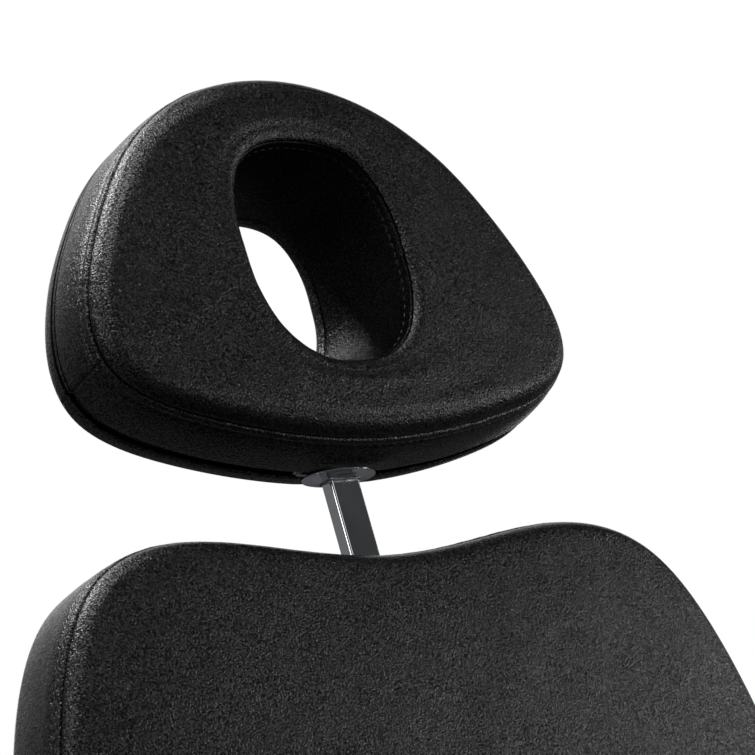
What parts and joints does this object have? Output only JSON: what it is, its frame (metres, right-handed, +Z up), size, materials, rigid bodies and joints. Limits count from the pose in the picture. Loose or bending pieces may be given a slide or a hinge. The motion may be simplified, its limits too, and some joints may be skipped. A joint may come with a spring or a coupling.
{
  "type": "beauty treatment chair",
  "caption": "Hydraulic swivel treatment chair with reclining back, hinged leg rest, lift-up arms and a headrest with a face hole on a sliding bar.",
  "frame": {"origin": "centre of the floor pad's underside, on the column's axis, on the floor", "axes": "+Z up, the chair faces -Y, +X is the sitter's left and the viewer's right; the levers and the pedal are on the +X side"},
  "size_m": [0.7738, 1.3795, 1.4645],
  "materials": {
    "upholstery": null,
    "chrome": "polished chrome plate",
    "black_paint": "satin black powder coat on steel",
    "base_iron": "plain dark paint on a steel plate",
    "zinc": "bright zinc plated steel fixings",
    "brass": "plain brass washer",
    "cast_alloy": "polished aluminium arm rail",
    "rubber": "matt black rubber",
    "black_plastic": "moulded black plastic",
    "plywood": "plain birch plywood"
  },
  "bodies": {
    "base": {"floor_pad": "rubber", "base_plate": "base_iron", "base_cover": "chrome", "base_bolts": "zinc", "pump_body": "black_paint", "column_shroud": "chrome", "column_seal": "rubber", "pedal_pin": "zinc"},
    "pedal": {"pedal_lever": "black_paint", "pedal_pad": "rubber"},
    "ram": {"ram": "chrome", "thrust_washer": "brass"},
    "seat": {"swivel_hub": "black_paint", "column_sleeve": "chrome", "hub_bolts": "zinc", "frame_rails": "black_paint", "frame_crossbars": "black_paint", "rail_caps": "black_plastic", "hinge_brackets": "black_paint", "hinge_pins": "zinc", "guide_bolts": "zinc", "clamp_nuts": "zinc", "seat_board": "plywood", "seat_cushion": "upholstery", "seat_screws": "zinc", "arm_sockets": "black_paint", "arm_post_left": "chrome", "arm_post_right": "chrome", "arm_pins": "zinc"},
    "arm_left": {"arm_rail_left": "cast_alloy", "arm_pad_left": "upholstery"},
    "arm_right": {"arm_rail_right": "cast_alloy", "arm_pad_right": "upholstery"},
    "backrest": {"back_frame": "black_paint", "back_board": "plywood", "back_cushion": "upholstery", "back_screws": "zinc", "socket_block": "plywood", "bar_socket": "black_paint", "socket_liner": "black_plastic", "socket_flange": "chrome", "knob_bush": "zinc"},
    "headrest_knob": {"knob_grip": "black_plastic", "knob_stem": "zinc"},
    "headrest": {"headrest_bar": "chrome", "bar_plug": "black_plastic", "headrest_board": "plywood", "headrest_cushion": "upholstery", "headrest_rear_pad": "upholstery", "headrest_flange": "chrome", "headrest_screws": "zinc"},
    "back_lever": {"back_lever": "chrome", "back_lever_grip": "black_plastic"},
    "leg_lever": {"leg_lever": "chrome", "leg_lever_grip": "black_plastic"},
    "leg_rest": {"leg_frame": "black_paint", "leg_board": "plywood", "leg_cushion": "upholstery", "leg_screws": "zinc"}
  },
  "joints": [
    {"name": "pedal_press", "type": "hinge", "parent": "base", "child": "pedal", "pos_m": [0.066, 0, 0.1], "axis": [0, 1, 0], "range_deg": [0, 18], "stiffness_Nm_per_rad": 8, "springref_deg": -34.38},
    {"name": "seat_lift", "type": "slide", "parent": "base", "child": "ram", "axis": [0, 0, 1], "range_m": [0, 0.15]},
    {"name": "seat_swivel", "type": "hinge", "parent": "ram", "child": "seat", "pos_m": [0, 0, 0.38], "axis": [0, 0, 1], "continuous": true},
    {"name": "back_recline", "type": "hinge", "parent": "seat", "child": "backrest", "pos_m": [0, 0.272, 0.484], "axis": [-1, 0, 0], "range_deg": [-10, 65]},
    {"name": "headrest_height", "type": "slide", "parent": "backrest", "child": "headrest", "axis": [0, 0.4226, 0.9063], "range_m": [-0.055, 0.09]},
    {"name": "headrest_clamp", "type": "hinge", "parent": "backrest", "child": "headrest_knob", "pos_m": [0, 0.54467, 1.06875], "axis": [0, 0.9063, -0.4226], "range_deg": [0, 360]},
    {"name": "back_clamp", "type": "hinge", "parent": "seat", "child": "back_lever", "pos_m": [0.187, 0.35626, 0.41329], "axis": [-1, 0, 0], "range_deg": [-45, 45]},
    {"name": "leg_recline", "type": "hinge", "parent": "seat", "child": "leg_rest", "pos_m": [0, -0.278, 0.422], "axis": [-1, 0, 0], "range_deg": [-12, 50]},
    {"name": "leg_clamp", "type": "hinge", "parent": "seat", "child": "leg_lever", "pos_m": [0.187, -0.278, 0.338], "axis": [-1, 0, 0], "range_deg": [-35, 35]},
    {"name": "arm_left_lift", "type": "hinge", "parent": "seat", "child": "arm_left", "pos_m": [-0.33, 0.11, 0.655], "axis": [-1, 0, 0], "range_deg": [0, 90]},
    {"name": "arm_right_lift", "type": "hinge", "parent": "seat", "child": "arm_right", "pos_m": [0.33, 0.11, 0.655], "axis": [-1, 0, 0], "range_deg": [0, 90]}
  ]
}
